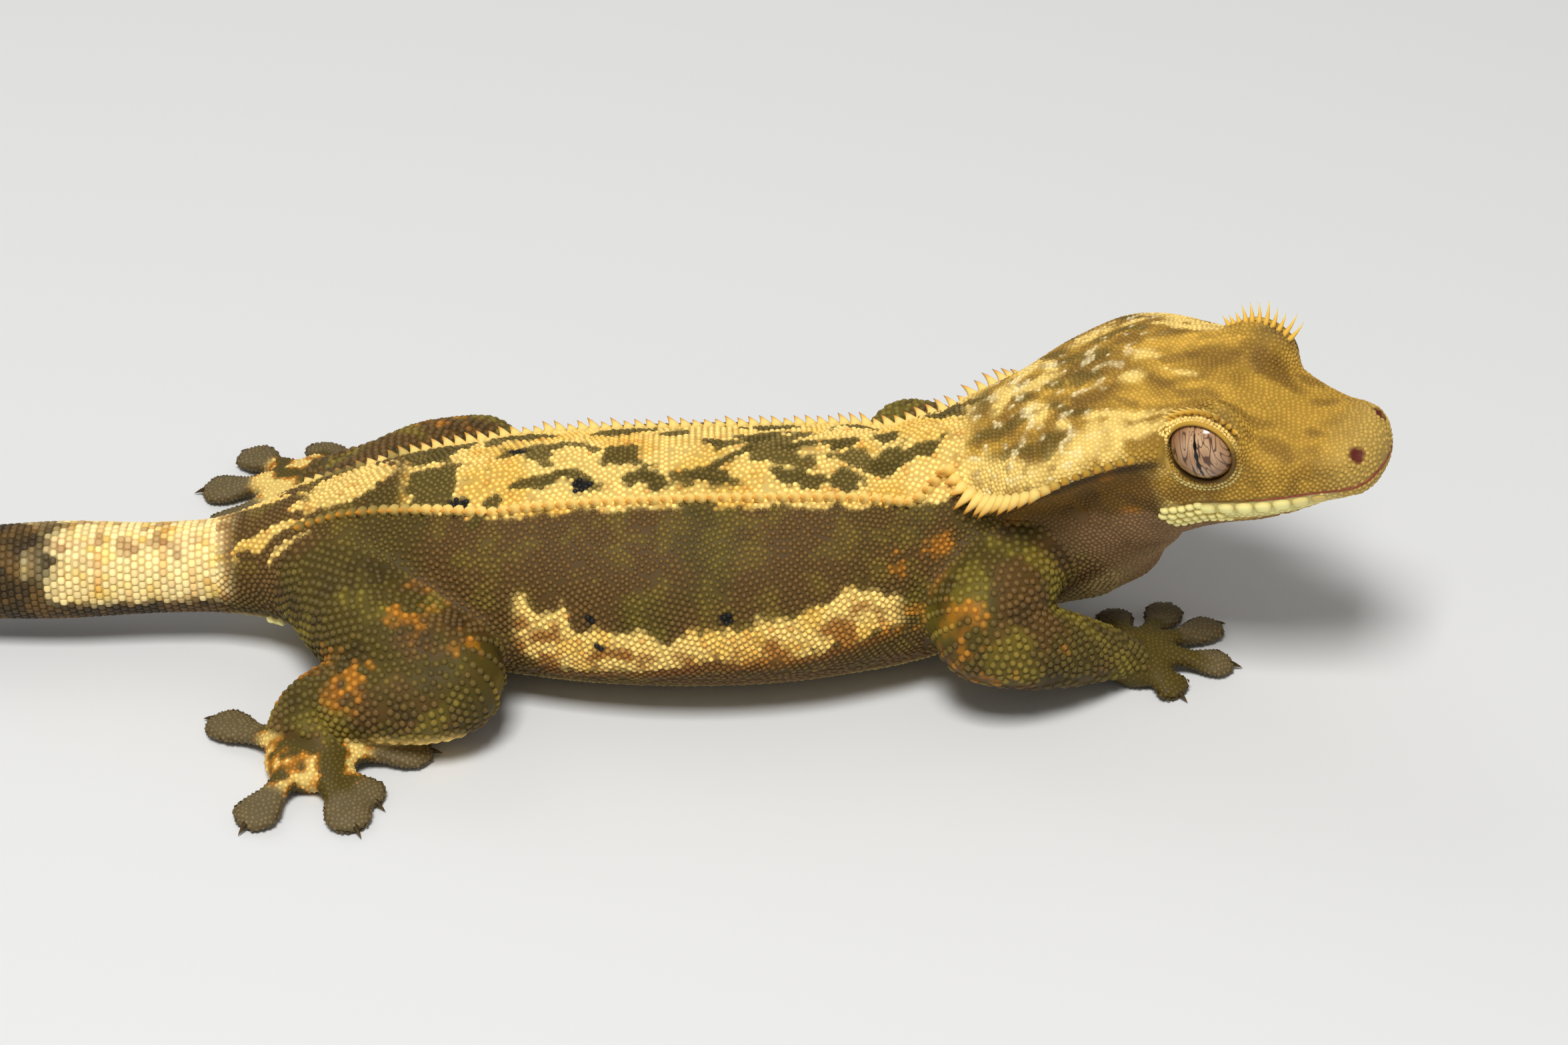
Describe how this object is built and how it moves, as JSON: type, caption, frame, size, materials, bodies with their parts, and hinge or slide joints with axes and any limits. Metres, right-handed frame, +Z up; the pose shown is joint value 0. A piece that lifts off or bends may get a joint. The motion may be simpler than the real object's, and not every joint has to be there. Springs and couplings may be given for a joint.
{
  "type": "crested gecko model",
  "caption": "Life-size crested gecko lying on its belly with raised, turned head, fringed crests, spread toe pads and a tapering tail.",
  "frame": {"origin": "middle of the flat under the belly, on the floor", "axes": "+X towards the snout along the body, +Y to the animal's left, +Z up"},
  "size_m": [0.1927, 0.0617, 0.035],
  "materials": {
    "head_skin": "dry scaled skin, golden ochre",
    "jaw_skin": "dry scaled skin, pale lips",
    "eye": "wet gloss",
    "back_skin": "dry scaled skin, cream and olive",
    "hip_skin": "dry scaled skin, dark olive",
    "tail_skin": "dry scaled skin, cream",
    "limb_skin": "dry scaled skin, dark olive",
    "toe_skin": "dry scaled skin, grey olive"
  },
  "bodies": {
    "root": {"head": "head_skin", "lower_jaw": "jaw_skin", "eye_left": "eye", "eye_right": "eye", "neck": "head_skin", "torso": "back_skin", "hips": "hip_skin", "tail_base": "tail_skin", "tail_middle": "tail_skin", "tail_tip": "tail_skin", "upper_arm_left": "limb_skin", "forearm_left": "limb_skin", "hand_left": "toe_skin", "upper_arm_right": "limb_skin", "forearm_right": "limb_skin", "hand_right": "toe_skin", "thigh_left": "limb_skin", "shin_left": "limb_skin", "foot_left": "toe_skin", "thigh_right": "limb_skin", "shin_right": "limb_skin", "foot_right": "toe_skin"}
  },
  "joints": []
}
